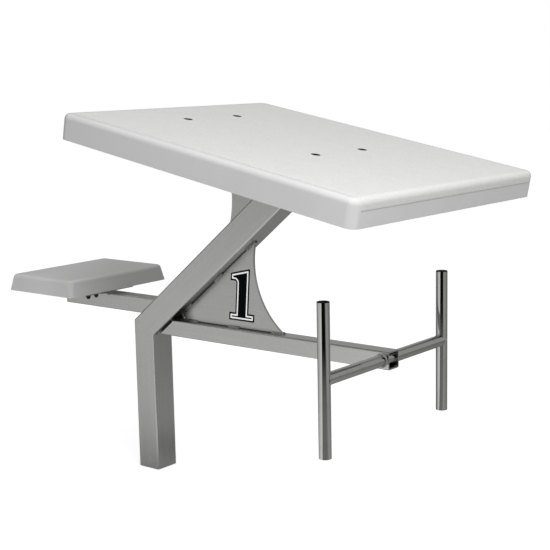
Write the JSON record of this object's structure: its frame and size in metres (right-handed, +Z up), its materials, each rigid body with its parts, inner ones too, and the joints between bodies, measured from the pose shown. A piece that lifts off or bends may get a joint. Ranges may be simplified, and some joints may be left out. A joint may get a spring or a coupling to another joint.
{
  "type": "swimming starting block",
  "caption": "Single-post starting block: sloping non-slip tread on a square stainless post and inclined strut, rear step and vertical backstroke grips.",
  "frame": {"origin": "centre of the post's lower end face", "axes": "+X towards the pool, along the tread; +Y to the left of a swimmer facing the pool; +Z up the post"},
  "size_m": [1.1581, 0.6604, 0.8613],
  "materials": {
    "satin_steel": "satin, fine lengthwise grain",
    "weld_steel": "cleaned weld beads",
    "polished_steel": "mirror polished stainless steel",
    "bolt_steel": "plain stainless fasteners",
    "dome_nut_steel": "dark, semi-gloss",
    "black_plastic": "moulded, matt",
    "tread_gelcoat": "white gelcoat, satin gloss",
    "tread_grit": "white coating with fine non-slip sand",
    "tread_backing": "rolled white gelcoat",
    "core_plywood": "marine plywood, sealed inside",
    "step_moulding": "pale grey moulding, smooth satin",
    "number_dark": "black vinyl",
    "number_white": "white vinyl"
  },
  "bodies": {
    "root": {"cross_bar": "polished_steel", "cross_bar_welds": "weld_steel", "foot_plug": "satin_steel", "front_arm": "satin_steel", "front_arm_welds": "weld_steel", "front_gusset": "satin_steel", "front_gusset_welds": "weld_steel", "grip_bottom_plugs": "black_plastic", "grip_left": "polished_steel", "grip_right": "polished_steel", "grip_top_plugs": "black_plastic", "grip_welds": "polished_steel", "head_plate": "satin_steel", "head_plate_welds": "weld_steel", "number_border": "number_dark", "number_figure": "number_dark", "number_line": "number_white", "post_tube": "satin_steel", "rear_arm": "satin_steel", "rear_arm_plug": "black_plastic", "rear_arm_welds": "weld_steel", "rear_gusset": "satin_steel", "rear_gusset_welds": "weld_steel", "step_backing": "step_moulding", "step_core": "core_plywood", "step_nuts": "dome_nut_steel", "step_plate": "satin_steel", "step_plate_welds": "weld_steel", "step_shell": "step_moulding", "step_studs": "bolt_steel", "step_washers": "bolt_steel", "strut_tube": "satin_steel", "tread_backing": "tread_backing", "tread_bolts": "bolt_steel", "tread_core": "core_plywood", "tread_grit": "tread_grit", "tread_nuts": "bolt_steel", "tread_shell": "tread_gelcoat", "tread_washers": "bolt_steel"}
  },
  "joints": []
}
